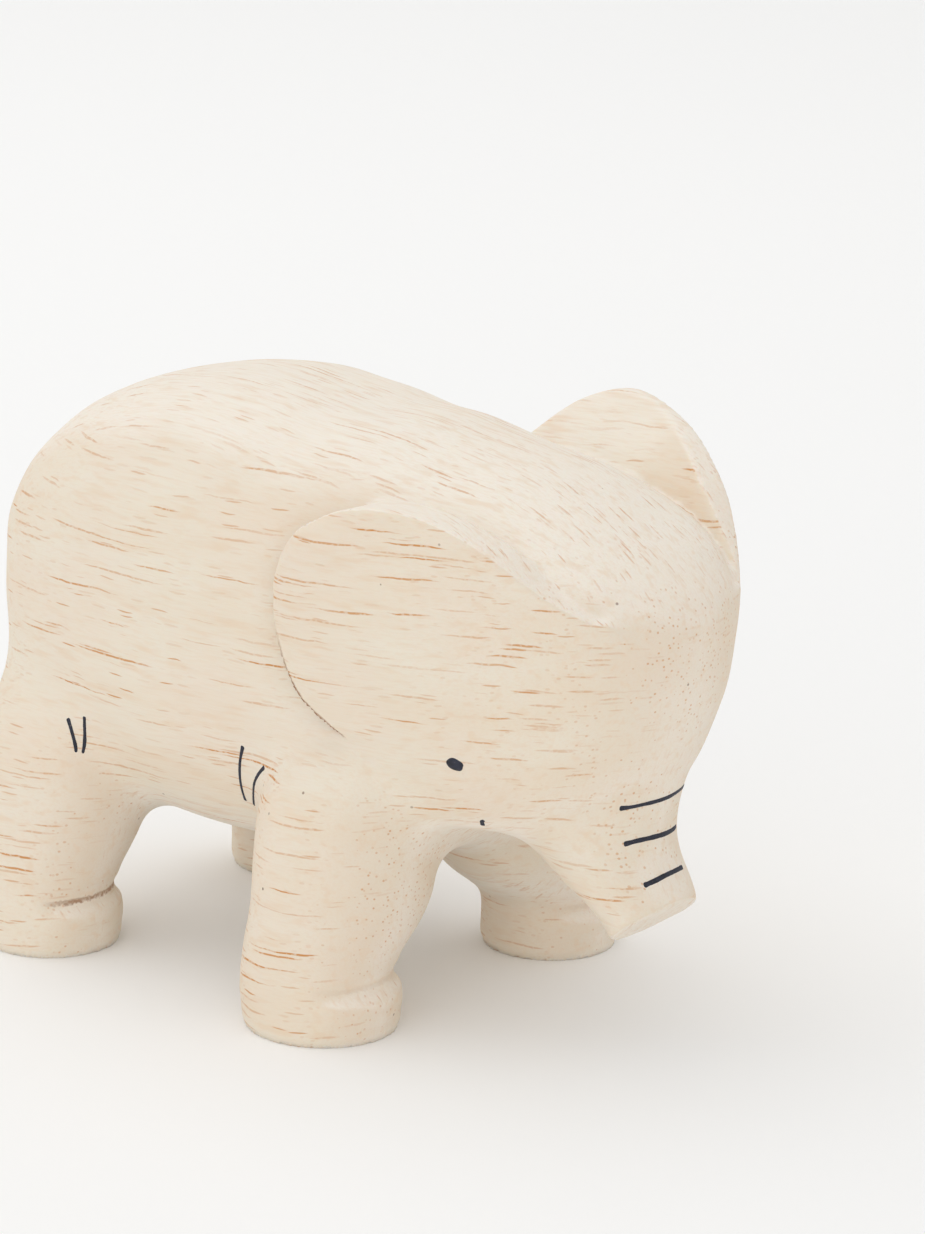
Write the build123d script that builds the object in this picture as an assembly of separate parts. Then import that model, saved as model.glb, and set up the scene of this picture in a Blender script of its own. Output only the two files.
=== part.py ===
from build123d import *
import os
from math import copysign, cos, pi, sin

# Carved elephant figurine: one block of pale wood with marks drawn on it in ink.
# Millimetres. +X points forward to the trunk, +Y to the elephant's left, +Z up.
# The origin lies on the ground under the middle of the figure.

# ---- driving dimensions ----
LENGTH = 82.0
BACK_HEIGHT = 57.5
BELLY_HEIGHT = 12.6
BODY_HALF_WIDTH = 19.2
TAIL_DEPTH = 1.6
TAIL_HALF_WIDTH = 1.5
TAIL_LENGTH = 17.0
TAIL_MIDDLE_Z = 33.0
RUMP_X = -LENGTH / 2 + 0.8
BROW_X = LENGTH / 2
HEAD_X = 12.0
HEAD_WIDTH_RATIO = 0.665

# Each foot: distance forward and outward of its middle, half its length and half its width.
FEET = {
    "front_right": (7.9, 16.1, 7.8, 7.2),
    "front_left": (8.0, 16.1, 7.0, 6.6),
    "hind_right": (-29.0, 16.8, 7.1, 6.8),
    "hind_left": (-28.4, 17.2, 7.0, 6.6),
}
SOLE_ROUNDING = 1.0
TOE_ROUNDING = 0.8
TOE_STEP = 0.5
FOOT_HEIGHT = 5.4

# Ink, as x and z seen from the side. The trunk lines are given as height and half length.
INK_THICKNESS = 0.12
INK_WIDTH = 0.46
EYE = (24.1, 28.5)
EYE_HALF_LENGTH = 0.87
EYE_HALF_HEIGHT = 0.68
EYE_TILT = 14.0
MOUTH = [(24.1, 22.0), (23.6, 21.3)]
FOLDS = {
    "front_fold_rear": [(-0.4, 25.9), (-1.1, 24.3), (-1.8, 22.4), (-2.3, 20.2)],
    "front_fold_front": [(2.7, 24.4), (1.5, 23.3), (0.6, 22.2), (-0.5, 20.5)],
    "hind_fold_rear": [(-23.8, 24.2), (-23.2, 22.8), (-22.6, 21.0)],
    "hind_fold_front": [(-21.9, 24.7), (-21.9, 20.9)],
}
FACE_X = 38.0
TRUNK_LINES = {"upper": (24.3, 4.6), "middle": (20.65, 3.8), "lower": (17.0, 3.1)}

SIDES = {"right": -1, "left": 1}
SECTION_STEPS = 16
REACH = 60.0


# ---- shared shapes ----
def upright_section(x, top, bottom, half_width, squareness):
    """A cross-section of the body at one x, between an ellipse and a rectangle."""
    middle = (top + bottom) / 2
    half_height = (top - bottom) / 2
    points = []
    for step in range(SECTION_STEPS):
        angle = 2 * pi * step / SECTION_STEPS
        across = copysign(abs(cos(angle)) ** (2 / squareness), cos(angle))
        upward = copysign(abs(sin(angle)) ** (2 / squareness), sin(angle))
        points.append((x, half_width * across, middle + half_height * upward))
    return make_face(Spline(*points, periodic=True))


def level_section(z, centre_x, centre_y, half_length, half_width):
    """A horizontal elliptical section."""
    return Pos(centre_x, centre_y, z) * make_face(Ellipse(half_length, half_width).edges())


def stack(sections):
    """A smooth solid through horizontal ellipses: height, centre x, centre y, half sizes."""
    return loft([level_section(*section) for section in sections])


def side_prism(curve, corners):
    """A side view, a smooth curve closed by straight lines, carried right across the figure."""
    smooth = Spline(*[(x, -REACH, z) for x, z in curve])
    straight = Polyline(*[(x, -REACH, z) for x, z in [curve[-1], *corners, curve[0]]])
    return extrude(make_face(smooth + straight), amount=2 * REACH, dir=(0, 1, 0))


def half_space(origin, along, across, upper):
    """The block of space above, or else below, the plane that holds two directions."""
    normal = Vector(*along).cross(Vector(*across))
    if (normal.Z > 0) != upper:
        normal = -normal
    plane = Plane(origin=origin, z_dir=normal)
    return plane * Box(4 * REACH, 4 * REACH, REACH, align=(Align.CENTER, Align.CENTER, Align.MIN))


# ---- torso ----
def torso():
    """The barrel of the body from the rounded rump, on through the neck, to the brow."""
    stations = [
        (RUMP_X, 41.0, 25.5, 7.4, 2.6),
        (RUMP_X + 0.9, 45.0, 21.5, 11.4, 2.6),
        (RUMP_X + 3.6, 49.5, 17.6, 15.2, 2.6),
        (-32.0, 53.0, 14.6, 17.4, 2.6),
        (-25.0, 55.8, 13.0, 18.7, 2.6),
        (-15.0, BACK_HEIGHT, BELLY_HEIGHT, BODY_HALF_WIDTH, 2.6),
        (-5.0, 57.0, BELLY_HEIGHT, 18.8, 2.6),
        (5.0, 56.0, 13.2, 18.0, 2.5),
        (13.0, 55.2, 15.2, 17.6, 2.3),
        (20.0, 54.2, 19.6, 17.0, 2.2),
        (27.0, 52.2, 26.0, 15.6, 2.3),
        (33.0, 49.0, 32.5, 12.8, 2.4),
        (37.0, 46.4, 36.2, 9.0, 2.3),
        (39.6, 44.0, 39.0, 5.4, 2.1),
        (BROW_X - 0.3, 42.8, 40.6, 2.7, 2.0),
    ]
    return loft([upright_section(*station) for station in stations])


def tail():
    """A low ridge down the middle of the rump."""
    ridge = scale(Sphere(1), by=(TAIL_DEPTH, TAIL_HALF_WIDTH, TAIL_LENGTH / 2))
    return Pos(-LENGTH / 2 + TAIL_DEPTH, 0, TAIL_MIDDLE_Z) * ridge


# ---- head ----
def inner_space(side, stations):
    """The space between one ear and the crown, from upright four-sided sections along the head.

    Each station gives x, where the ear's inner face starts (y, z), and how far that face
    leans out for each millimetre that it rises.
    """
    ceiling = 75.0
    sections = []
    for x, start_y, start_z, lean in stations:
        corners = [(x, 0, start_z), (x, side * start_y, start_z),
                   (x, side * (start_y + lean * (ceiling - start_z)), ceiling), (x, 0, ceiling)]
        sections.append(make_face(Polyline(*corners, close=True)))
    return loft(sections, ruled=True)


def half_head(side, outline, inner_face):
    """One cheek and its ear, all one surface outside, cut off behind by the ear's rear edge."""
    heights = [19.6, 27.0, 34.5, 42.0, 50.0, 58.0]
    radii = [18.6, 24.9, 27.8, BROW_X - HEAD_X, 29.3, 29.6]
    egg = stack([(z, HEAD_X, 0, r, r * HEAD_WIDTH_RATIO) for z, r in zip(heights, radii)])
    face = egg & side_prism(outline, [(50.0, 42.0), (50.0, 20.6), (14.5, 20.6)])
    face -= Pos(0, -side * REACH, 0) * Box(4 * REACH, 2 * REACH, 4 * REACH)
    return face - inner_space(side, inner_face)


RIGHT_EAR = [(14.5, 24.0), (12.2, 29.1), (7.2, 33.0), (5.0, 39.5), (6.2, 45.3), (10.5, 49.7),
             (17.0, 51.9), (23.5, 51.5), (29.0, 48.8), (33.0, 45.6), (36.5, 43.0)]
RIGHT_INNER_FACE = [(50.0, 10.6, 43.0, 0.0), (38.0, 10.6, 43.0, 0.0), (30.0, 11.2, 46.5, 0.28),
                    (22.0, 12.0, 50.2, 1.2), (14.0, 12.2, 51.0, 2.2), (0.0, 12.2, 50.0, 2.2)]
LEFT_EAR = [(14.5, 24.0), (12.2, 29.1), (7.2, 33.0), (5.0, 39.5), (5.0, 46.0), (7.6, 51.8),
            (11.8, 55.7), (17.4, 56.6), (23.0, 55.0), (27.8, 52.4), (32.0, 48.7), (36.5, 43.0)]
LEFT_INNER_FACE = [(50.0, 10.6, 43.0, 0.0), (38.0, 10.6, 43.0, 0.0), (30.0, 11.2, 46.5, 0.25),
                   (22.0, 12.0, 50.4, 1.0), (14.0, 12.2, 51.6, 1.15), (0.0, 12.2, 51.0, 1.15)]


# ---- trunk ----
def trunk():
    """The trunk, from inside the face down to its slanting cut end."""
    core = stack([
        (30.0, 28.6, 0, 8.4, 9.5),
        (24.0, 27.6, 0, 8.4, 8.2),
        (20.0, 27.8, 0, 8.0, 7.2),
        (16.0, 31.8, 0, 5.8, 6.2),
        (13.0, 34.6, 0, 3.9, 5.4),
        (10.0, 36.0, 0, 3.2, 5.0),
    ])
    return core - half_space((38.4, 0, 15.0), (5.0, 0, 4.1), (0, 1, 0), upper=False)


# ---- legs ----
def leg(side, foot, upper):
    """One leg: a foot with a flat sole and a toe that stands proud, and the leg above it."""
    foot_x, foot_y, half_length, half_width = foot
    foot_y *= side
    pad = extrude(level_section(0, foot_x, foot_y, half_length, half_width), FOOT_HEIGHT)
    pad = fillet(pad.edges().group_by(Axis.Z)[0], SOLE_ROUNDING)
    pad = fillet(pad.edges().group_by(Axis.Z)[-1], TOE_ROUNDING)
    shank = stack([
        (SOLE_ROUNDING, foot_x, foot_y, half_length - 2 * TOE_STEP, half_width - TOE_STEP),
        (5.5, foot_x - TOE_STEP, foot_y, half_length - TOE_STEP, half_width),
        *[(z, x, side * y, length, width) for z, x, y, length, width in upper],
    ])
    return pad + shank


RIGHT_FRONT_LEG = [(11.7, 8.1, 13.5, 8.1, 9.0), (18.0, 8.4, 12.7, 8.5, 9.2),
                   (26.0, 9.2, 11.0, 8.6, 7.9), (34.0, 10.0, 9.0, 7.0, 6.5)]
LEFT_FRONT_LEG = [(11.7, 7.3, 12.9, 8.9, 9.5), (18.0, 8.0, 12.4, 8.8, 9.4),
                  (26.0, 9.2, 11.0, 8.6, 7.9), (34.0, 10.0, 9.0, 7.0, 6.5)]
HIND_LEG = [(10.0, -30.4, 14.8, 8.4, 8.0), (16.0, -30.1, 13.4, 9.8, 8.8),
            (25.0, -28.8, 11.0, 10.2, 8.3), (34.0, -27.0, 9.0, 9.0, 6.5)]


# ---- whole block ----
def carved_body():
    """Every part of the figure is carved from the same block, so it is one solid."""
    pieces = [
        half_head(SIDES["right"], RIGHT_EAR, RIGHT_INNER_FACE),
        half_head(SIDES["left"], LEFT_EAR, LEFT_INNER_FACE),
        trunk(),
        tail(),
    ]
    pieces.append(leg(SIDES["right"], FEET["front_right"], RIGHT_FRONT_LEG))
    pieces.append(leg(SIDES["left"], FEET["front_left"], LEFT_FRONT_LEG))
    for side_name, side in SIDES.items():
        pieces.append(leg(side, FEET["hind_" + side_name], HIND_LEG))
    return torso() + pieces


# ---- ink marks ----
def stroke_face(points):
    """A pen stroke seen from the side: a short line of x and z points with the pen's width."""
    path = [Line(start, end) for start, end in zip(points, points[1:])]
    return Plane.XZ * trace(path, line_width=INK_WIDTH)


def eye_face():
    """The oval of one eye seen from the side."""
    oval = make_face(Ellipse(EYE_HALF_LENGTH, EYE_HALF_HEIGHT).edges())
    return Plane.XZ * Pos(*EYE) * Rot(0, 0, -EYE_TILT) * oval


def side_mark(body, side, face):
    """A film of ink with the outline of a side view, lying on the skin of one side."""
    column = extrude(face, amount=REACH / 2, dir=(0, side, 0))
    patch = body & column
    reach_out = Pos(0, side * INK_THICKNESS, 0) * patch
    return (reach_out & column) - patch


def trunk_mark(body, height, half_length):
    """A line of ink drawn level across the front of the trunk."""
    slab = Pos(FACE_X, 0, height) * Box(14, 2 * half_length, INK_WIDTH)
    patch = body & slab
    reach_out = Pos(INK_THICKNESS, 0, 0) * patch
    return (reach_out & slab) - patch


os.makedirs("parts", exist_ok=True)
figure = carved_body()
export_step(figure, "parts/carved_body.step")
for line_name, (height, half_length) in TRUNK_LINES.items():
    export_step(trunk_mark(figure, height, half_length), f"parts/trunk_line_{line_name}.step")
for side_name, side in SIDES.items():
    export_step(side_mark(figure, side, eye_face()), f"parts/eye_{side_name}.step")
    export_step(side_mark(figure, side, stroke_face(MOUTH)), f"parts/mouth_{side_name}.step")
    for fold_name, points in FOLDS.items():
        mark = side_mark(figure, side, stroke_face(points))
        export_step(mark, f"parts/{fold_name}_{side_name}.step")
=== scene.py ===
"""Looks of the carved wooden elephant: a softened wooden body with pen marks, on a pale floor."""

import math
import random

import bpy
import numpy as np
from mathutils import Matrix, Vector
from mathutils.bvhtree import BVHTree


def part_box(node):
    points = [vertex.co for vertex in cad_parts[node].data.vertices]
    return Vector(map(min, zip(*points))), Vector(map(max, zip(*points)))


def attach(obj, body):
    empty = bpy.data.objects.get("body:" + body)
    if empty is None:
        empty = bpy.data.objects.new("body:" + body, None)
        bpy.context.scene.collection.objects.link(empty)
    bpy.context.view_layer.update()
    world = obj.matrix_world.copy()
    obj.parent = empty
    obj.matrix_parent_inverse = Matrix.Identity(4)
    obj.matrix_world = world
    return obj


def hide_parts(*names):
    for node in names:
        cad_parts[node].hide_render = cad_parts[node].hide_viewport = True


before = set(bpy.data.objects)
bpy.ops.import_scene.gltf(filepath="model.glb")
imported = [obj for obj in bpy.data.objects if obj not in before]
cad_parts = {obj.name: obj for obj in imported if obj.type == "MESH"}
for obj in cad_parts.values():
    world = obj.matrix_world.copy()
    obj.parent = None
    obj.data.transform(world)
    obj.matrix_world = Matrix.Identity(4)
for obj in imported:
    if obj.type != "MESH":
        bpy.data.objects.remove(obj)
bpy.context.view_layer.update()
MM = 0.001

# ---- shape settings, millimetres ----
VOXEL = 0.28
WAVE_HEIGHT = 0.13
TOE_CUT = 0.34
TOE_BULGE = 0.26
EAR_STEP_DOWN = 0.45
EAR_STEP_UP = 0.45
EAR_KNIFE_CUT = 0.55
INK_WIDTH = 0.50
FOLD_INK_WIDTH = 0.38
INK_RISE = 0.05
INK_SINK = 0.10
INK_STEP = 0.12
EYE_HALF_LENGTH = 0.87
EYE_HALF_HEIGHT = 0.68
EYE_RISE = 0.09

# ---- view settings: angles in degrees, lengths in metres, lens in millimetres ----
AZIMUTH = 42.7
ELEVATION = 15.1
EYE_TILT = 14.0
GRAIN_TILT = 1.0
TARGET = Vector((0.0112, 0.0, 0.0370))
DISTANCE = 0.420
SENSOR = 36.0
LENS = 129.88


# ---------------------------------------------------------------- mesh helpers
def new_object(name, vertices, faces):
    """An object from vertices in millimetres."""
    mesh = bpy.data.meshes.new(name)
    mesh.from_pydata([tuple(np.asarray(v) * MM) for v in vertices], [], faces)
    mesh.validate()
    mesh.update()
    mesh.polygons.foreach_set("use_smooth", [True] * len(mesh.polygons))
    obj = bpy.data.objects.new(name, mesh)
    bpy.context.scene.collection.objects.link(obj)
    return obj


def read_points(mesh):
    points = np.empty(len(mesh.vertices) * 3)
    mesh.vertices.foreach_get("co", points)
    return points.reshape(-1, 3) / MM


def write_points(mesh, points):
    mesh.vertices.foreach_set("co", (points * MM).ravel())
    mesh.update()


def read_normals(mesh):
    normals = np.empty(len(mesh.vertices) * 3)
    mesh.vertices.foreach_get("normal", normals)
    return normals.reshape(-1, 3)


class Neighbours:
    """Averages of a value over each vertex's neighbours."""

    def __init__(self, mesh):
        edges = np.empty(len(mesh.edges) * 2, np.int64)
        mesh.edges.foreach_get("vertices", edges)
        a, b = edges.reshape(-1, 2).T
        self.start = np.concatenate([a, b])
        self.end = np.concatenate([b, a])
        self.count = len(mesh.vertices)
        self.degree = np.bincount(self.start, minlength=self.count).clip(1)

    def mean(self, values):
        if values.ndim == 1:
            return np.bincount(self.start, values[self.end], self.count) / self.degree
        return np.stack([self.mean(column) for column in values.T], axis=1)

    def relax(self, points, weight, rounds):
        """Laplacian smoothing, as strong at each vertex as its weight."""
        amount = 0.6 * weight[:, None]
        for _ in range(rounds):
            points = points + amount * (self.mean(points) - points)
        return points


def ramp(value, low, high):
    """0 below low, 1 above high, smooth between."""
    t = np.clip((value - low) / (high - low), 0, 1)
    return t * t * (3 - 2 * t)


def near_curve(points_xz, curve):
    """The distance in a side view from each point to a polyline."""
    best = np.full(len(points_xz), 1e9)
    curve = np.asarray(curve, float)
    for start, end in zip(curve[:-1], curve[1:]):
        along = end - start
        t = np.clip(((points_xz - start) @ along) / (along @ along), 0, 1)
        gap = np.linalg.norm(points_xz - (start + t[:, None] * along), axis=1)
        best = np.minimum(best, gap)
    return best


def smooth_path(points, step):
    """Even points on a Catmull-Rom curve through a few points."""
    points = np.asarray(points, float)
    padded = np.vstack([2 * points[0] - points[1], points, 2 * points[-1] - points[-2]])
    dense = []
    for a, b, c, d in zip(padded[:-3], padded[1:-2], padded[2:-1], padded[3:]):
        for t in np.linspace(0, 1, 24, endpoint=False):
            dense.append(0.5 * (2 * b + (c - a) * t + (2 * a - 5 * b + 4 * c - d) * t * t
                                + (3 * b - a - 3 * c + d) * t ** 3))
    dense.append(points[-1])
    dense = np.array(dense)
    length = np.concatenate([[0], np.cumsum(np.linalg.norm(np.diff(dense, axis=0), axis=1))])
    count = max(8, int(length[-1] / step))
    even = np.linspace(0, length[-1], count)
    path = np.stack([np.interp(even, length, dense[:, k]) for k in range(points.shape[1])], axis=1)
    return path, length[-1]


# ---------------------------------------------------------------- wooden body
# each ear's outline seen from the side, x and z, from its lower end round the back and over the top
RIGHT_EAR = [(14.5, 24.0), (12.2, 29.1), (7.2, 33.0), (5.0, 39.5), (6.2, 45.3), (10.5, 49.7),
             (17.0, 51.9), (23.5, 51.5), (29.0, 48.8), (33.0, 45.6)]
LEFT_EAR = [(14.5, 24.0), (12.2, 29.1), (7.2, 33.0), (5.0, 39.5), (5.0, 46.0), (7.6, 51.8),
            (11.8, 55.7), (17.4, 56.6), (23.0, 55.0), (27.8, 52.4), (32.0, 48.7)]
EARS = [(side, [tuple(p) for p in smooth_path(outline, 1.5)[0]])
        for side, outline in ((-1, RIGHT_EAR), (1, LEFT_EAR))]
# each foot: the sole's middle x and y, the heights of the toe cut and of its painted shade and stain
# line, and how dark that is
FEET = [
    (7.9, -16.1, 4.95, 5.3, 0.10),
    (8.0, 16.1, 4.95, 5.3, 0.10),
    (-29.0, -16.8, 5.2, 5.5, 0.80),
    (-28.4, 17.2, 5.2, 5.5, 0.80),
]


def remeshed_body(source):
    """A copy of the CAD body with small even quads."""
    copy = bpy.data.objects.new("body_source", source.data.copy())
    bpy.context.scene.collection.objects.link(copy)
    modifier = copy.modifiers.new("remesh", "REMESH")
    modifier.mode = "VOXEL"
    modifier.voxel_size = VOXEL * MM
    modifier.use_smooth_shade = True
    bpy.context.view_layer.update()
    evaluated = copy.evaluated_get(bpy.context.evaluated_depsgraph_get())
    mesh = bpy.data.meshes.new_from_object(evaluated)
    bpy.data.objects.remove(copy)
    return mesh


def ear_fields(points):
    """For both ears: the distance to the outline seen from the side, and whether each point is inside."""
    side_view = points[:, [0, 2]]
    fields = []
    for side, outline in EARS:
        distance = near_curve(side_view, outline)
        inside = np.zeros(len(points), bool)
        closed = outline + [(40.0, 36.0), (30.0, 24.0)]
        for (x0, z0), (x1, z1) in zip(closed, closed[1:] + closed[:1]):
            crosses = (z0 > side_view[:, 1]) != (z1 > side_view[:, 1])
            where = x0 + (side_view[:, 1] - z0) * (x1 - x0) / (z1 - z0 + 1e-12)
            inside ^= crosses & (side_view[:, 0] < where)
        fields.append((side, distance, inside))
    return fields


def ear_guard(points):
    """1 on the rims of the ears and their crisp rear step, 0 away from them."""
    guard = np.zeros(len(points))
    for side, distance, _ in ear_fields(points):
        outside = ramp(side * points[:, 1], 6.0, 9.0)
        above = ramp(points[:, 2], 24.0, 28.0)
        reach = 1 - ramp(distance, 1.6, 4.2)
        guard = np.maximum(guard, reach * outside * above)
    return guard


def ear_relief(points):
    """How far each point moves outward so that the ears stand proud behind a fine knife cut."""
    move = np.zeros(len(points))
    for side, distance, inside in ear_fields(points):
        flank = ramp(side * points[:, 1], 11.0, 14.0)
        rear = 1 - ramp(points[:, 0], 13.0, 18.0)
        height = ramp(points[:, 2], 28.8, 30.5) * (1 - ramp(points[:, 2], 47.0, 51.0))
        here = flank * rear * height
        body_side = ~inside
        move -= here * body_side * EAR_STEP_DOWN * (1 - ramp(distance, 0.3, 4.0))
        move += here * inside * EAR_STEP_UP * (1 - ramp(distance, 1.5, 6.0))
        move -= here * body_side * EAR_KNIFE_CUT * (1 - ramp(distance, 0.05, 0.55))
    return move


def toe_side(points, foot_x, foot_y, low, high):
    """1 in front of a foot, more to its left than to its right, and 0 elsewhere."""
    forward = points[:, 0] - foot_x
    leftward = points[:, 1] - foot_y
    near = np.hypot(forward, leftward) < 12
    return near * ramp(forward + 0.35 * leftward, low, high)


def toe_notch(points):
    """How far each point moves outward for the cut and the lip that set off the toes."""
    z = points[:, 2]
    move = np.zeros(len(points))
    for foot_x, foot_y, cut_height, _, _ in FEET:
        here = toe_side(points, foot_x, foot_y, 1.5, 5.0)
        move -= here * TOE_CUT * (1 - ramp(np.abs(z - cut_height - 0.25), 0.1, 1.3))
        below_cut = 1 - ramp(z, cut_height - 1.3, cut_height - 0.3)
        move += here * TOE_BULGE * ramp(z, 1.2, 3.0) * below_cut
    return move


def creases(mesh, ring, points):
    """Marks the concave creases, found from how far each vertex lies below its neighbours' mean."""
    smooth = ring.relax(points, np.ones(len(points)), 10)
    write_points(mesh, smooth)
    normals = read_normals(mesh)
    hollow = ((ring.mean(smooth) - smooth) * normals).sum(1)
    for _ in range(6):
        hollow = ring.mean(hollow)
    return ramp(hollow, 0.0012, 0.004)


def carve(mesh):
    """Softens the joins between body, legs and head, as hand carving and sanding does."""
    ring = Neighbours(mesh)
    points = read_points(mesh)
    x, y, z = points.T
    # the ears and the feet keep their shape while the creases round them are smoothed
    foot = 1 - ramp(z, 6.6, 9.0)
    ear_inside = ramp(z, 39.5, 41.5) * ramp(np.abs(y), 6.5, 8.5) * (1 - ramp(x, 37, 39))
    allowed = (1 - ear_guard(points)) * (1 - foot) * (1 - 0.97 * ear_inside)
    spread = creases(mesh, ring, points) * allowed
    for _ in range(150):
        spread = np.maximum(spread * 0.994, ring.mean(spread))
    weight = ramp(spread, 0.05, 0.5) * allowed
    # the haunch runs straight into the rump
    haunch = (1 - ramp(x, -36, -32)) * ramp(z, 13, 18) * (1 - ramp(z, 36, 42))
    weight = np.maximum(weight, 0.9 * haunch)
    points = ring.relax(points, weight, 300)
    # the brow and the throat are rounded over
    brow = ramp(x, 34.5, 38) * ramp(z, 36, 39) * (1 - ramp(np.abs(y), 7.0, 9.5))
    throat = (1 - ramp(z, 22.5, 26)) * ramp(z, 16, 18) * ramp(x, 13, 16) * (1 - ramp(x, 30, 33))
    points = ring.relax(points, np.maximum(brow, 0.8 * throat), 220)
    # the ledge over the toes is pared down
    ledge = ramp(z, 3.2, 4.8) * (1 - ramp(z, 7.0, 9.0))
    points = ring.relax(points, 0.9 * ledge, 90)
    # every remaining edge is slightly worn, the toes least
    points = ring.relax(points, 0.5 - 0.3 * foot, 7)
    # the tool leaves slight waves, then cuts the ears and the toes free
    write_points(mesh, points)
    normals = read_normals(mesh)
    above_ground = ramp(points[:, 2], 1, 3)
    points = points + normals * (WAVE_HEIGHT * hand_waves(points) * above_ground)[:, None]
    points = points + normals * (ear_relief(points) + toe_notch(points))[:, None]
    # soles stay flat on the ground
    points[:, 2] = np.where(points[:, 2] < 0.35, np.minimum(points[:, 2], 0.02), points[:, 2])
    return points


def mark_cuts(mesh):
    """Stores each point's distance from the knife cuts, and how dark the painted shade and stain in the
    cut are there.
    """
    points = read_points(mesh)
    x, y, z = points.T
    gap = np.full(len(points), 9.0)
    dark = np.zeros(len(points))
    for side, distance, inside in ear_fields(points):
        flank = (side * y > 10) & (x < 20) & (z < 42)
        signed = np.where(inside, distance, -distance)
        gap = np.where(flank, np.clip(signed, -9, 9), gap)
        dark = np.where(flank, ramp(z, 28.9, 29.5) * (1 - ramp(z, 33, 40)), dark)
    for foot_x, foot_y, _, shade_and_stain_height, darkness in FEET:
        near = (np.hypot(x - foot_x, y - foot_y) < 12) & (z < 12)
        gap = np.where(near, z - shade_and_stain_height, gap)
        dark = np.where(near, toe_side(points, foot_x, foot_y, 2.0, 5.0) * darkness, dark)
    for name, values in (("cut_gap", gap), ("cut_dark", dark)):
        attribute = mesh.attributes.new(name, "FLOAT", "POINT")
        attribute.data.foreach_set("value", values.astype(np.float32))


def hand_waves(points):
    """A smooth field between -1 and 1 that varies over 6 to 15 mm."""
    rng = np.random.default_rng(11)
    total = np.zeros(len(points))
    for wavelength in (15.0, 11.0, 8.0, 6.5):
        for _ in range(3):
            direction = rng.normal(size=3)
            direction /= np.linalg.norm(direction)
            phase = rng.uniform(0, 2 * math.pi)
            total += np.sin(points @ direction * 2 * math.pi / wavelength + phase) * wavelength / 15
    return total / 4.0


body_mesh = remeshed_body(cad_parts["carved_body"])
body_points = carve(body_mesh)
# the carved shape keeps to the size of the block
low, high = (np.array(corner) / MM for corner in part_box("carved_body"))
body_points = np.clip(body_points, low, high)
write_points(body_mesh, body_points)
mark_cuts(body_mesh)
body_mesh.name = "elephant_wood"
body_mesh.materials.clear()
body = bpy.data.objects.new("elephant_wood", body_mesh)
bpy.context.scene.collection.objects.link(body)
body_mesh.polygons.foreach_set("use_smooth", [True] * len(body_mesh.polygons))


# ---------------------------------------------------------------- pen marks
skin = BVHTree.FromPolygons(
    [Vector(p) for p in body_points], [tuple(p.vertices) for p in body_mesh.polygons])


def on_skin(point):
    """The nearest place on the wood, and the wood's outward direction there."""
    place, normal, _, _ = skin.find_nearest(Vector(point))
    return np.array(place), np.array(normal)


def pen_line(name, guide, seed, width=INK_WIDTH, heavy_start=1.25):
    """A pen line drawn on the wood, as a thin raised ribbon that follows the surface."""
    rng = np.random.default_rng(seed)
    path, length = smooth_path(guide, INK_STEP)
    count = len(path)
    snapped = [on_skin(point) for point in path]
    centre = np.array([place for place, _ in snapped])
    normal = np.array([direction for _, direction in snapped])
    tangent = np.gradient(centre, axis=0)
    across = np.cross(normal, tangent)
    across /= np.linalg.norm(across, axis=1)[:, None]
    wobble = np.convolve(np.pad(rng.uniform(-1, 1, count), 3, mode="edge"), np.ones(7) / 7, "valid")
    along = np.linspace(0, length, count)
    half = 0.5 * width * (1 + 0.30 * wobble)
    half *= 1 + (heavy_start - 1) * np.exp(-along / 0.45)
    to_end = np.minimum(along, length - along)
    half *= np.sqrt(np.clip(1 - (1 - np.clip(to_end / (0.5 * width), 0, 1)) ** 2, 0.06, 1))
    lanes = np.linspace(-1, 1, 7)
    top, bottom = [], []
    for i in range(count):
        ends = min(i, count - 1 - i)
        for lane in lanes:
            place, outward = on_skin(centre[i] + across[i] * half[i] * lane)
            rise = min(INK_RISE * (1 - lane ** 4), INK_RISE * 0.5 * ends) - 0.01
            top.append(place + outward * rise)
            bottom.append(place - outward * INK_SINK)
    return closed_sheet(name, top, bottom, count, len(lanes))


def closed_sheet(name, top, bottom, rows, columns):
    """A thin closed solid from a grid of upper points and a grid of lower points."""
    faces = []
    shift = rows * columns
    for i in range(rows - 1):
        for j in range(columns - 1):
            a = i * columns + j
            quad = (a, a + 1, a + columns + 1, a + columns)
            faces.append(quad)
            faces.append(tuple(shift + k for k in reversed(quad)))
    rim = [i * columns for i in range(rows)]
    rim += [(rows - 1) * columns + j for j in range(1, columns)]
    rim += [i * columns + columns - 1 for i in range(rows - 2, -1, -1)]
    rim += [j for j in range(columns - 2, 0, -1)]
    for a, b in zip(rim, rim[1:] + rim[:1]):
        faces.append((a, b, shift + b, shift + a))
    return new_object(name, top + bottom, faces)


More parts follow.
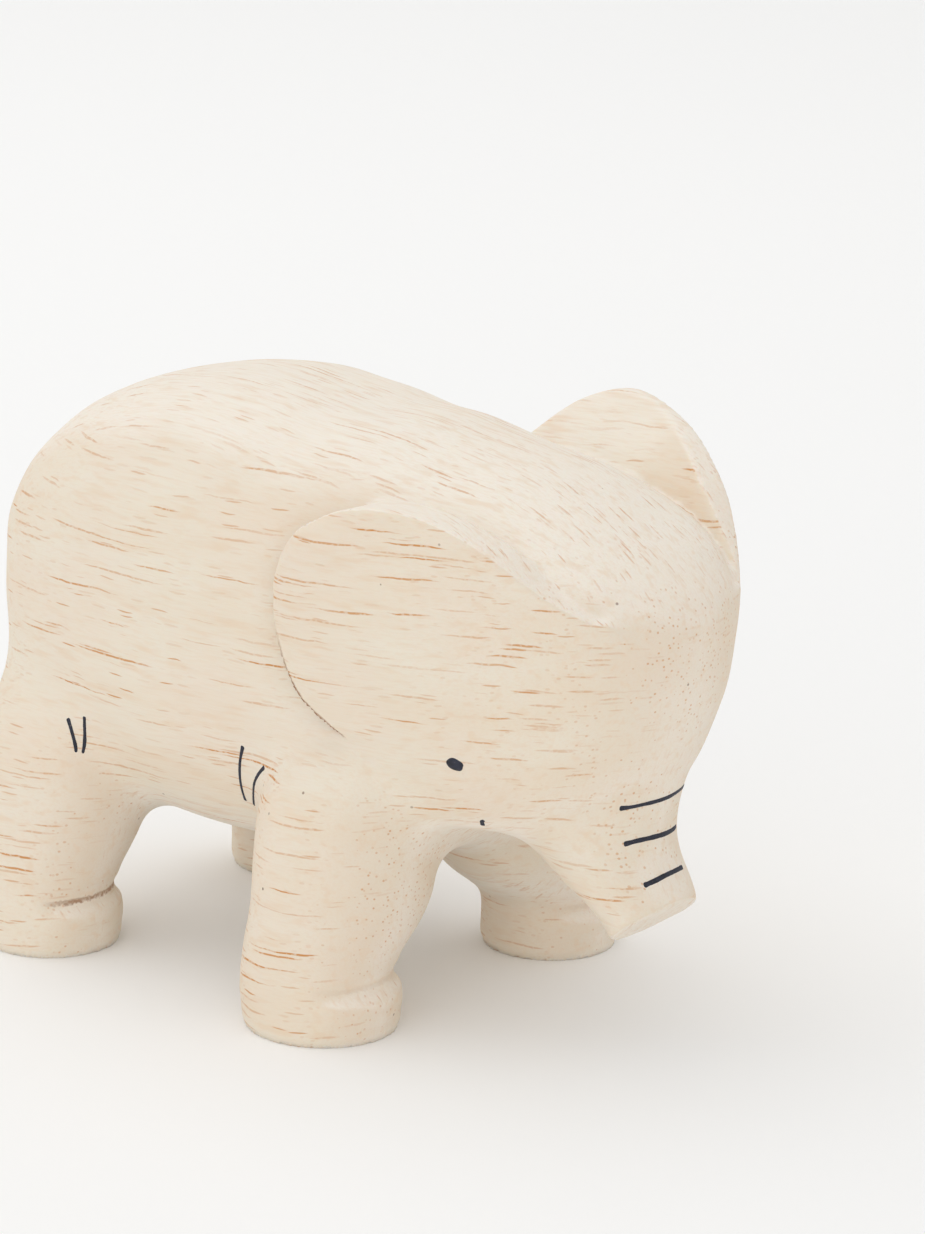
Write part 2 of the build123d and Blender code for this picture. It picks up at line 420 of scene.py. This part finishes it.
def pen_dot(name, middle, seed):
    """A filled oval, slightly domed, with an uneven hand-drawn outline."""
    rng = random.Random(seed)
    centre, outward = on_skin(middle)
    level = np.cross((0.0, 0.0, 1.0), outward)
    level *= np.sign(level[0]) / np.linalg.norm(level)
    upright = np.cross(outward, level)
    upright *= np.sign(upright[2])
    lean = math.radians(-EYE_TILT)
    long_axis = level * math.cos(lean) + upright * math.sin(lean)
    short_axis = upright * math.cos(lean) - level * math.sin(lean)
    spokes = 40
    bumps = [(rng.uniform(-0.035, 0.035), rng.uniform(0, 2 * math.pi), k) for k in (2, 3, 4, 5)]
    rings = [0.0, 0.35, 0.65, 0.85, 0.96, 1.0]
    top, bottom, faces = [], [], []
    for radius in rings:
        for spoke in range(spokes if radius else 1):
            angle = 2 * math.pi * spoke / spokes
            reach = radius * (1 + sum(a * math.sin(k * angle + p) for a, p, k in bumps))
            offset = long_axis * EYE_HALF_LENGTH * reach * math.cos(angle)
            offset = offset + short_axis * EYE_HALF_HEIGHT * reach * math.sin(angle)
            place, normal = on_skin(centre + offset)
            top.append(place + normal * (EYE_RISE * (1 - radius ** 4) - 0.01))
            bottom.append(place - normal * INK_SINK)
    shift = len(top)
    first = 1
    for s in range(spokes):
        tri = (0, first + s, first + (s + 1) % spokes)
        faces += [tri, tuple(shift + k for k in reversed(tri))]
    for r in range(len(rings) - 2):
        base = 1 + r * spokes
        for s in range(spokes):
            t = (s + 1) % spokes
            quad = (base + s, base + spokes + s, base + spokes + t, base + t)
            faces += [quad, tuple(shift + k for k in reversed(quad))]
    base = 1 + (len(rings) - 2) * spokes
    for s in range(spokes):
        t = (s + 1) % spokes
        faces.append((base + s, shift + base + s, shift + base + t, base + t))
    return new_object(name, top + bottom, faces)


# guide points on the right side, in millimetres; the left side repeats them
FOLDS = {
    "front_fold_rear": [(-0.4, -17.8, 25.9), (-1.1, -17.4, 24.3), (-1.75, -16.8, 22.4),
                        (-2.2, -16.1, 20.8), (-2.5, -15.4, 19.5)],
    "front_fold_front": [(2.75, -17.3, 24.4), (1.5, -16.9, 23.3), (0.65, -16.5, 22.3),
                         (-0.2, -16.0, 20.9), (-1.2, -15.2, 19.5)],
    "hind_fold_rear": [(-23.7, -18.7, 24.2), (-23.2, -18.8, 23.2), (-22.6, -18.9, 21.7),
                       (-22.4, -19.0, 20.9)],
    "hind_fold_front": [(-21.8, -18.0, 24.7), (-21.9, -18.0, 23.1), (-21.9, -18.3, 21.7),
                        (-22.0, -18.5, 20.8)],
}
MOUTH = [(24.9, -12.1, 21.85), (24.45, -11.9, 21.95), (24.3, -11.7, 21.5), (24.15, -11.5, 21.05)]
EYE = (24.1, -15.0, 28.5)
TRUNK_LINES = {
    "upper": [(34.7, -4.5, 24.15), (35.3, -3.4, 24.2), (35.8, -2.1, 24.3), (36.0, 0.0, 24.4),
              (35.8, 2.4, 24.5), (34.9, 4.4, 24.4)],
    "middle": [(34.6, -3.7, 20.5), (35.2, -2.4, 20.7), (35.6, -0.9, 20.75), (35.6, 1.1, 20.7),
               (34.8, 3.7, 20.6)],
    "lower": [(36.4, -3.0, 16.75), (36.8, -1.75, 17.05), (36.9, -0.6, 17.25), (36.7, 1.6, 17.3),
              (36.3, 3.0, 17.2)],
}


def on_side(guide, side):
    """The right side's guide points, or their mirror images for the left side."""
    return [(x, -side * y, z) for x, y, z in guide]


ink_pieces = []
for side_name, side in (("right", -1), ("left", 1)):
    eye = pen_dot(f"ink_eye_{side_name}", on_side([EYE], side)[0], 5 + side)
    ink_pieces.append((eye, f"eye_{side_name}"))
    mouth = pen_line(f"ink_mouth_{side_name}", on_side(MOUTH, side), 30 + side, heavy_start=1.1)
    ink_pieces.append((mouth, f"mouth_{side_name}"))
    for number, (fold_name, guide) in enumerate(FOLDS.items()):
        mark = pen_line(f"ink_{fold_name}_{side_name}", on_side(guide, side),
                        50 + 10 * side + number, width=FOLD_INK_WIDTH)
        ink_pieces.append((mark, f"{fold_name}_{side_name}"))
for number, (line_name, guide) in enumerate(TRUNK_LINES.items()):
    mark = pen_line(f"ink_trunk_{line_name}", guide, 70 + number, heavy_start=1.35)
    ink_pieces.append((mark, f"trunk_line_{line_name}"))


# ---------------------------------------------------------------- materials
# the next colour is painted light: top-facing surfaces are coloured lighter, as if lit from above
PAINTED_TOP_LIGHT = (0.930, 0.880, 0.800, 1)
PALE = (0.835, 0.765, 0.645, 1)
PALE_WARM = (0.820, 0.715, 0.575, 1)
PALE_PINK = (0.835, 0.720, 0.600, 1)
END_GRAIN = (0.700, 0.575, 0.445, 1)
STAIN = (0.790, 0.600, 0.425, 1)
VESSEL = (0.620, 0.285, 0.095, 1)
# the next colour is painted shade in the knife cuts, with some brown stain
CUT_SHADE_AND_STAIN = (0.330, 0.165, 0.085, 1)
SPECK = (0.160, 0.070, 0.035, 1)


class Graph:
    """Short calls for building a node tree."""

    def __init__(self, name):
        self.material = bpy.data.materials.new(name)
        self.material.use_nodes = True
        self.tree = self.material.node_tree
        self.shader = self.tree.nodes["Principled BSDF"]

    def node(self, kind, inputs=None, **settings):
        made = self.tree.nodes.new(kind)
        for key, value in settings.items():
            setattr(made, key, value)
        for key, value in (inputs or {}).items():
            self.feed(made.inputs[key], value)
        return made

    def feed(self, socket, value):
        if isinstance(value, bpy.types.NodeSocket):
            self.tree.links.new(value, socket)
        else:
            socket.default_value = value

    def math(self, operation, a, b=0.0):
        return self.node("ShaderNodeMath", {0: a, 1: b}, operation=operation).outputs[0]

    def step(self, value, low, high, to_low=0.0, to_high=1.0):
        made = self.node("ShaderNodeMapRange", {
            "Value": value, "From Min": low, "From Max": high,
            "To Min": to_low, "To Max": to_high}, interpolation_type="SMOOTHSTEP")
        return made.outputs["Result"]

    def noise(self, vector, scale, detail=2.0, roughness=0.5, out="Fac"):
        made = self.node("ShaderNodeTexNoise", {
            "Vector": vector, "Scale": scale, "Detail": detail, "Roughness": roughness})
        return made.outputs[out]

    def scaled(self, vector, factors):
        made = self.node("ShaderNodeVectorMath", {0: vector, 1: factors}, operation="MULTIPLY")
        return made.outputs[0]

    def add(self, a, b):
        return self.node("ShaderNodeVectorMath", {0: a, 1: b}, operation="ADD").outputs[0]

    def mix(self, factor, a, b):
        made = self.node("ShaderNodeMix", data_type="RGBA")
        self.feed(made.inputs[0], factor)
        self.feed(made.inputs[6], a)
        self.feed(made.inputs[7], b)
        return made.outputs[2]

    def attribute(self, name):
        return self.node("ShaderNodeAttribute", attribute_name=name).outputs["Fac"]

    def bump(self, height):
        made = self.node("ShaderNodeBump", {"Height": height, "Strength": 0.5, "Distance": 0.001})
        self.feed(self.shader.inputs["Normal"], made.outputs["Normal"])


def vessels(g, place, spacing, length, depth, radius, share, seed_shift):
    """Streaks along X, 1 inside and 0 outside; depth stretches their cells across Y and Z."""
    shifted = g.add(place, (seed_shift, seed_shift * 0.7, seed_shift * 1.3))
    cells = g.scaled(shifted, (1 / length, 1 / spacing, 1 / spacing))
    cells = g.scaled(cells, (1.0, 1 / depth[0], 1 / depth[1]))
    made = g.node("ShaderNodeTexVoronoi", {"Vector": cells, "Scale": 1.0, "Randomness": 1.0},
                  voronoi_dimensions="3D", feature="F1")
    pick = g.node("ShaderNodeSeparateColor", {"Color": made.outputs["Color"]})
    present = g.step(pick.outputs[0], 1 - share, 1 - share * 0.75)
    size = g.step(present, 0.0, 1.0, 0.0, radius)
    inside = g.step(made.outputs["Distance"], size, g.math("MULTIPLY", size, 0.62))
    strength = g.step(pick.outputs[1], 0.0, 1.0, 0.45, 1.0)
    return g.math("MULTIPLY", inside, g.math("MULTIPLY", strength, present))


def bent_grain(g, place):
    """Coordinates along the grain, which bends over centimetres and over a few millimetres."""
    slow = g.noise(g.scaled(place, (0.030, 0.05, 0.05)), 1.0, 1.0, out="Color")
    quick = g.noise(g.scaled(place, (0.34, 0.30, 0.30)), 1.0, 2.0, 0.6, out="Color")
    slow_bend = g.scaled(g.add(slow, (-0.5, -0.5, -0.5)), (0.0, 2.0, 3.2))
    quick_bend = g.scaled(g.add(quick, (-0.5, -0.5, -0.5)), (0.0, 0.42, 0.42))
    bent = g.add(g.add(place, slow_bend), quick_bend)
    turned = g.node("ShaderNodeVectorRotate", {"Vector": bent, "Angle": math.radians(GRAIN_TILT)},
                    rotation_type="Y_AXIS")
    return turned.outputs[0]


def streaks(g, grain, end_grain, top_face, broken):
    """Long and short cut vessels on the sides and, fainter, on the back."""
    side_face = g.math("SUBTRACT", 1.0, top_face)
    long_grain = g.math("SUBTRACT", 1.0, g.math("MULTIPLY", end_grain, 0.75))
    layers = []
    for face, depth, gain in ((side_face, (9.0, 1.0), 1.0), (top_face, (1.0, 5.0), 0.60)):
        long_one = vessels(g, grain, 0.50, 26.0, depth, 0.25, 0.80, 3.1 + depth[0])
        long_two = vessels(g, grain, 0.60, 16.0, depth, 0.22, 0.74, 47.9 + depth[0])
        short = vessels(g, grain, 0.44, 6.5, depth, 0.20, 0.62, 17.7 + depth[0])
        face_gain = g.math("MULTIPLY", face, gain)
        layers.append((g.math("MULTIPLY", g.math("MAXIMUM", long_one, long_two), face_gain),
                       g.math("MULTIPLY", short, face_gain)))
    long_marks = g.math("MULTIPLY", g.math("ADD", layers[0][0], layers[1][0]), long_grain)
    short_marks = g.math("MULTIPLY", g.math("ADD", layers[0][1], layers[1][1]), long_grain)
    # they come in patches, and the long ones are broken along their length
    patch = g.noise(g.scaled(grain, (0.045, 0.13, 0.13)), 1.0, 2.0)
    patch_gain = g.step(patch, 0.34, 0.54, 0.55, 1.0)
    patch_gain = g.math("MULTIPLY", patch_gain, g.step(broken, 0.36, 0.52, 0.45, 1.0))
    long_marks = g.math("MULTIPLY", long_marks, patch_gain)
    short_marks = g.math("MULTIPLY", short_marks, g.step(patch, 0.30, 0.60, 0.45, 1.0))
    return long_marks, short_marks


def bare_wood(g, place, grain, end_grain, top_face, fibre, wide):
    """The colour of the wood between its streaks, with painted light on top-facing surfaces."""
    halo = g.noise(g.scaled(grain, (0.16, 1.3, 1.3)), 1.0, 2.0)
    cloud = g.noise(g.scaled(place, (0.07, 0.07, 0.07)), 1.0, 2.0)
    colour = g.mix(g.step(wide, 0.3, 0.7), PALE, PALE_WARM)
    colour = g.mix(g.step(cloud, 0.35, 0.7, 0.0, 0.5), colour, PALE_PINK)
    # painted light: top-facing surfaces are mixed towards a lighter colour, as if lit from above
    colour = g.mix(g.math("MULTIPLY", top_face, 0.60), colour, PAINTED_TOP_LIGHT)
    colour = g.mix(g.math("MULTIPLY", end_grain, 0.25), colour, END_GRAIN)
    colour = g.mix(g.step(halo, 0.50, 0.74, 0.0, 0.38), colour, STAIN)
    return g.mix(g.step(fibre, 0.40, 0.72, 0.0, 0.22), colour, STAIN)


def cut_shade_and_stain(g, broken):
    """1 along the knife cuts behind the ears and over the toes: painted shade in the cuts, with some
    brown stain.
    """
    gap = g.math("ADD", g.attribute("cut_gap"), g.step(broken, 0.2, 0.8, -0.12, 0.12))
    line = g.step(g.math("ABSOLUTE", gap), 0.12, 0.34, 1.0, 0.0)
    line = g.math("MULTIPLY", line, g.attribute("cut_dark"))
    return g.math("MULTIPLY", line, g.step(broken, 0.30, 0.60, 0.5, 1.0))


def wood_material():
    """Pale, unvarnished, sanded wood whose grain runs from rump to trunk."""
    g = Graph("pale_wood")
    texture = g.node("ShaderNodeTexCoord")
    place = g.scaled(texture.outputs["Object"], (1000.0, 1000.0, 1000.0))
    facing = g.node("ShaderNodeSeparateXYZ", {"Vector": texture.outputs["Normal"]})
    along, aside, upward = (g.math("ABSOLUTE", facing.outputs[k]) for k in range(3))
    end_grain = g.step(along, 0.45, 0.92)
    top_face = g.step(g.math("SUBTRACT", upward, aside), -0.25, 0.25)
    grain = bent_grain(g, place)
    broken = g.noise(g.scaled(grain, (1.9, 2.6, 2.6)), 1.0, 2.0)
    fibre = g.noise(g.scaled(grain, (0.22, 5.0, 5.0)), 1.0, 3.0, 0.6)
    wide = g.noise(g.scaled(grain, (0.03, 0.13, 0.20)), 1.0, 3.0, 0.55)
    long_marks, short_marks = streaks(g, grain, end_grain, top_face, broken)
    dots = vessels(g, grain, 0.50, 6.0, (1.0, 1.0), 0.27, 0.66, 41.3)
    specks = vessels(g, place, 3.1, 3.1, (1.0, 1.0), 0.055, 0.30, 8.9)
    colour = bare_wood(g, place, grain, end_grain, top_face, fibre, wide)
    dot_gain = g.step(end_grain, 0.0, 1.0, 0.20, 0.62)
    colour = g.mix(g.math("MULTIPLY", dots, dot_gain), colour, VESSEL)
    colour = g.mix(g.math("MULTIPLY", short_marks, 0.85), colour, VESSEL)
    colour = g.mix(long_marks, colour, VESSEL)
    colour = g.mix(g.math("MULTIPLY", specks, 0.8), colour, SPECK)
    # painted shade, with some brown stain, darkens the knife cuts behind the ears and over the toes
    colour = g.mix(cut_shade_and_stain(g, broken), colour, CUT_SHADE_AND_STAIN)
    g.feed(g.shader.inputs["Base Color"], colour)
    rough = g.step(g.math("ADD", fibre, g.math("MULTIPLY", wide, 0.5)), 0.4, 1.1, 0.66, 0.84)
    g.feed(g.shader.inputs["Roughness"], rough)
    g.shader.inputs["Specular IOR Level"].default_value = 0.25
    g.shader.inputs["Subsurface Weight"].default_value = 0.10
    g.shader.inputs["Subsurface Radius"].default_value = (0.0016, 0.0009, 0.0005)
    g.shader.inputs["Subsurface Scale"].default_value = 1.0
    # open vessels are shallow grooves, and the sanded fibre is slightly rough
    groove = g.math("MULTIPLY", g.math("MAXIMUM", long_marks, short_marks), -0.02)
    groove = g.math("ADD", groove, g.math("MULTIPLY", dots, -0.025))
    raised = g.noise(g.scaled(grain, (1.2, 9.0, 9.0)), 1.0, 3.0, 0.65)
    fuzz = g.noise(place, 3.2, 3.0, 0.6)
    height = g.math("ADD", groove, g.math("MULTIPLY", raised, 0.020))
    g.bump(g.math("ADD", height, g.math("MULTIPLY", fuzz, 0.020)))
    return g.material


def ink_material():
    """Dried blue-black pen ink, worn a little where it lies on raised fibre."""
    g = Graph("pen_ink")
    coordinates = g.node("ShaderNodeTexCoord").outputs["Object"]
    place = g.scaled(coordinates, (1000.0, 1000.0, 1000.0))
    worn = g.noise(g.scaled(place, (1.2, 5.0, 5.0)), 1.0, 4.0, 0.65)
    pool = g.noise(place, 1.3, 2.0)
    colour = g.mix(g.step(pool, 0.3, 0.7), (0.012, 0.013, 0.022, 1), (0.030, 0.033, 0.052, 1))
    colour = g.mix(g.step(worn, 0.60, 0.74, 0.0, 0.55), colour, (0.20, 0.17, 0.16, 1))
    g.feed(g.shader.inputs["Base Color"], colour)
    g.feed(g.shader.inputs["Roughness"], g.step(pool, 0.3, 0.7, 0.48, 0.66))
    g.shader.inputs["Specular IOR Level"].default_value = 0.35
    g.bump(g.math("MULTIPLY", worn, 0.03))
    return g.material


wood = wood_material()
ink = ink_material()
body.data.materials.append(wood)
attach(body, "root")
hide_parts("carved_body")
for piece, node in ink_pieces:
    piece.data.materials.append(ink)
    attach(piece, "root")
    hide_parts(node)


# ---------------------------------------------------------------- studio
def studio():
    """A pale floor that curves up far behind into an even pale backdrop."""
    near_end, bend_start, bend_radius, wall_top, half_width = -1.6, 0.9, 0.6, 2.2, 2.6
    bend_steps = 12
    profile = [(near_end, 0.0), (bend_start, 0.0)]
    for step in range(1, bend_steps + 1):
        angle = math.radians(90 * step / bend_steps)
        distance = bend_start + bend_radius * math.sin(angle)
        profile.append((distance, bend_radius - bend_radius * math.cos(angle)))
    profile.append((bend_start + bend_radius, wall_top))
    turn = math.radians(AZIMUTH)
    away = np.array([-math.sin(turn), math.cos(turn), 0])
    aside = np.array([math.cos(turn), math.sin(turn), 0])
    rows = []
    for distance, height in profile:
        middle = away * distance + np.array([0, 0, height])
        rows.append([middle - aside * half_width, middle + aside * half_width])
    vertices = [v / MM for row in rows for v in row]
    faces = [(2 * i, 2 * i + 1, 2 * i + 3, 2 * i + 2) for i in range(len(rows) - 1)]
    floor = new_object("studio_floor", vertices, faces)
    g = Graph("studio_paper")
    coordinates = g.node("ShaderNodeTexCoord").outputs["Object"]
    tone = g.noise(coordinates, 3.0, 2.0)
    g.feed(g.shader.inputs["Base Color"],
           g.mix(tone, (0.965, 0.965, 0.96, 1), (0.98, 0.98, 0.975, 1)))
    g.shader.inputs["Roughness"].default_value = 0.9
    g.shader.inputs["Specular IOR Level"].default_value = 0.1
    floor.data.materials.append(g.material)


def area_light(name, place, target, size, power, colour):
    data = bpy.data.lights.new(name, "AREA")
    data.shape = "DISK"
    data.size = size
    data.energy = power
    data.color = colour
    lamp = bpy.data.objects.new(name, data)
    bpy.context.scene.collection.objects.link(lamp)
    lamp.location = place
    lamp.rotation_euler = (Vector(target) - Vector(place)).to_track_quat("-Z", "Y").to_euler()


studio()
turn, rise = math.radians(AZIMUTH), math.radians(ELEVATION)
right_hand = Vector((math.cos(turn), math.sin(turn), 0))
towards_camera = Vector((math.sin(turn), -math.cos(turn), 0))
up = Vector((0, 0, 1))
key_place = -right_hand * 0.40 - towards_camera * 0.30 + up * 0.95
area_light("key", key_place, (0, 0, 0.02), size=1.30, power=2.5, colour=(1.0, 0.985, 0.96))
fill_place = -right_hand * 0.25 + towards_camera * 1.1 + up * 0.28
area_light("fill", fill_place, (0, 0, 0.03), size=1.2, power=2.3, colour=(0.97, 0.985, 1.0))
world = bpy.data.worlds.new("studio_world")
world.use_nodes = True
sky = world.node_tree.nodes["Background"]
sky.inputs["Color"].default_value = (1.0, 1.0, 1.0, 1)
sky.inputs["Strength"].default_value = 0.785
bpy.context.scene.world = world

# ---------------------------------------------------------------- camera
back = Vector((math.sin(turn) * math.cos(rise), -math.cos(turn) * math.cos(rise), math.sin(rise)))
camera_data = bpy.data.cameras.new("camera")
camera_data.sensor_width = SENSOR
camera_data.lens = LENS
camera_data.clip_start = 0.01
camera_data.clip_end = 20.0
camera = bpy.data.objects.new("camera", camera_data)
bpy.context.scene.collection.objects.link(camera)
camera.location = TARGET + back * DISTANCE
camera.rotation_euler = back.to_track_quat("Z", "Y").to_euler()
bpy.context.scene.camera = camera
bpy.context.scene.view_settings.view_transform = "Standard"
